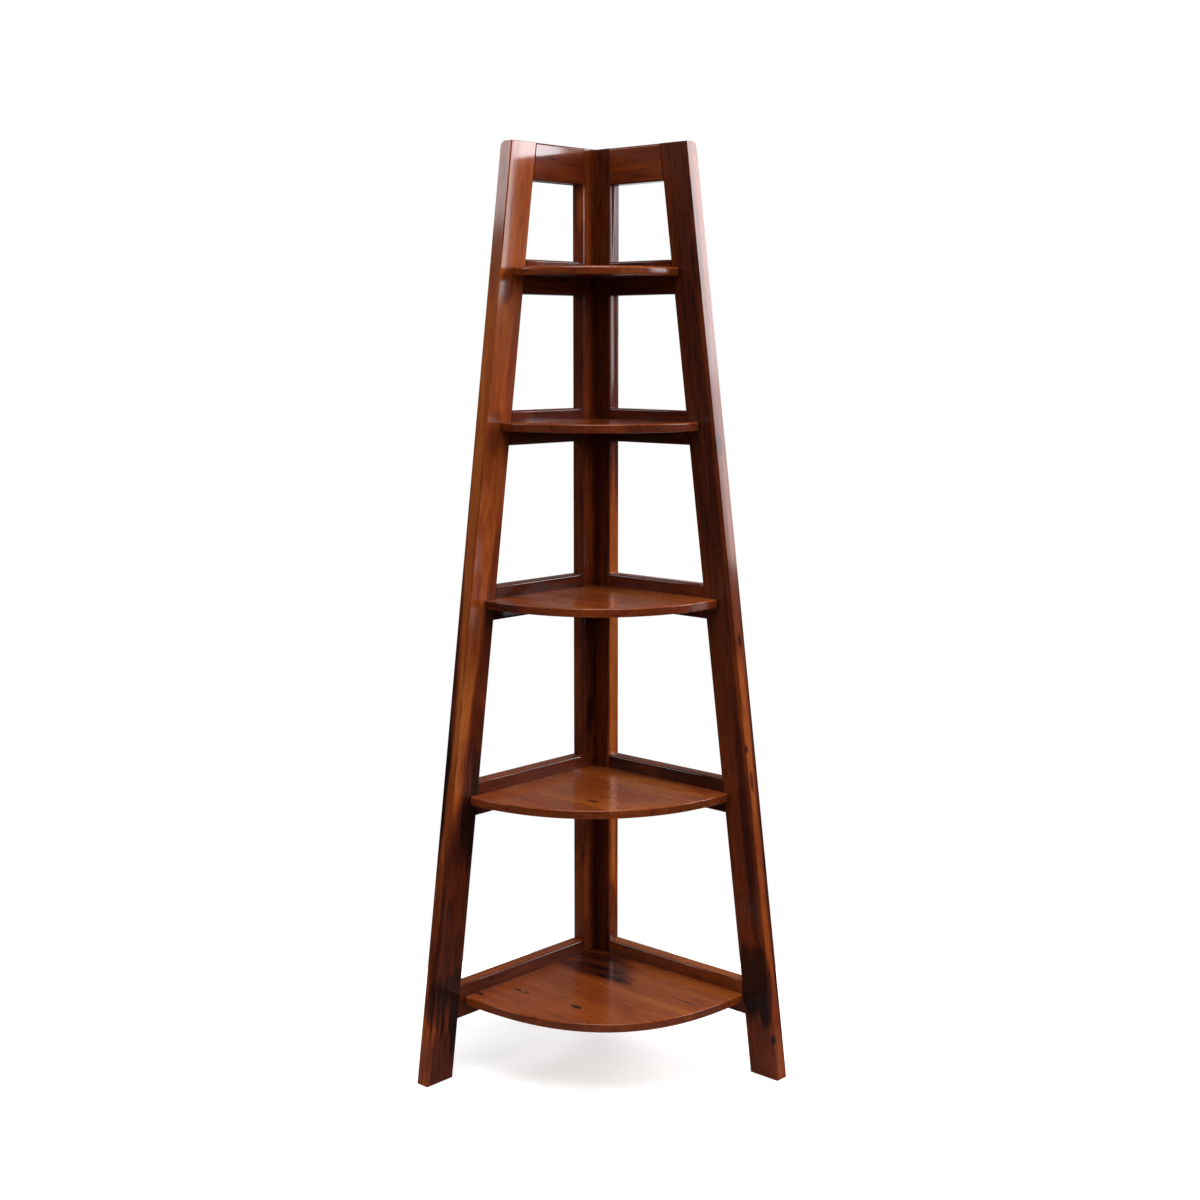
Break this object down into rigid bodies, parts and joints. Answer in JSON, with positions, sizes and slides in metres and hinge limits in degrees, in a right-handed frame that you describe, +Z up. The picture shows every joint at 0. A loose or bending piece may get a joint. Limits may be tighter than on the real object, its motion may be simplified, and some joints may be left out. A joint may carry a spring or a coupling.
{
  "type": "corner shelf unit",
  "caption": "Corner ladder shelf in glossy red-brown hardwood: two slanted side frames meet at a right angle and carry fan-shaped shelves that widen towards the floor.",
  "frame": {"origin": "middle of the square footprint, on the floor", "axes": "+Z up; the corner of the walls is at -X, +Y; the left frame lies on the wall plane at -X, the right frame on the wall plane at +Y, and the shelves' curved fronts face +X, -Y"},
  "size_m": [0.432, 0.432, 1.524],
  "materials": {
    "leg_wood": "glossy red-brown lacquer over straight-grained hardwood, with darker heartwood streaks",
    "stile_wood": "glossy dark red-brown lacquer over straight-grained hardwood",
    "rail_wood": "glossy red-brown lacquer over straight-grained hardwood",
    "shelf_wood": "glossy honey-brown lacquer over figured hardwood with small knots",
    "screw_steel": "zinc-plated countersunk screws with a cross recess"
  },
  "bodies": {
    "root": {"left_leg": "leg_wood", "left_stile": "stile_wood", "left_top_rail": "rail_wood", "left_rail_1": "rail_wood", "left_rail_2": "rail_wood", "left_rail_3": "rail_wood", "left_rail_4": "rail_wood", "left_rail_5": "rail_wood", "left_screw_1_back": "screw_steel", "left_screw_1_front": "screw_steel", "left_screw_2_back": "screw_steel", "left_screw_2_front": "screw_steel", "left_screw_3_back": "screw_steel", "left_screw_3_front": "screw_steel", "left_screw_4_back": "screw_steel", "left_screw_4_front": "screw_steel", "left_screw_5_back": "screw_steel", "left_screw_5_front": "screw_steel", "right_leg": "leg_wood", "right_stile": "stile_wood", "right_top_rail": "rail_wood", "right_rail_1": "rail_wood", "right_rail_2": "rail_wood", "right_rail_3": "rail_wood", "right_rail_4": "rail_wood", "right_rail_5": "rail_wood", "right_screw_1_back": "screw_steel", "right_screw_1_front": "screw_steel", "right_screw_2_back": "screw_steel", "right_screw_2_front": "screw_steel", "right_screw_3_back": "screw_steel", "right_screw_3_front": "screw_steel", "right_screw_4_back": "screw_steel", "right_screw_4_front": "screw_steel", "right_screw_5_back": "screw_steel", "right_screw_5_front": "screw_steel", "shelf_1": "shelf_wood", "shelf_2": "shelf_wood", "shelf_3": "shelf_wood", "shelf_4": "shelf_wood", "shelf_5": "shelf_wood", "corner_screw_1": "screw_steel", "corner_screw_2": "screw_steel", "corner_screw_3": "screw_steel", "corner_screw_4": "screw_steel", "corner_screw_5": "screw_steel"}
  },
  "joints": []
}
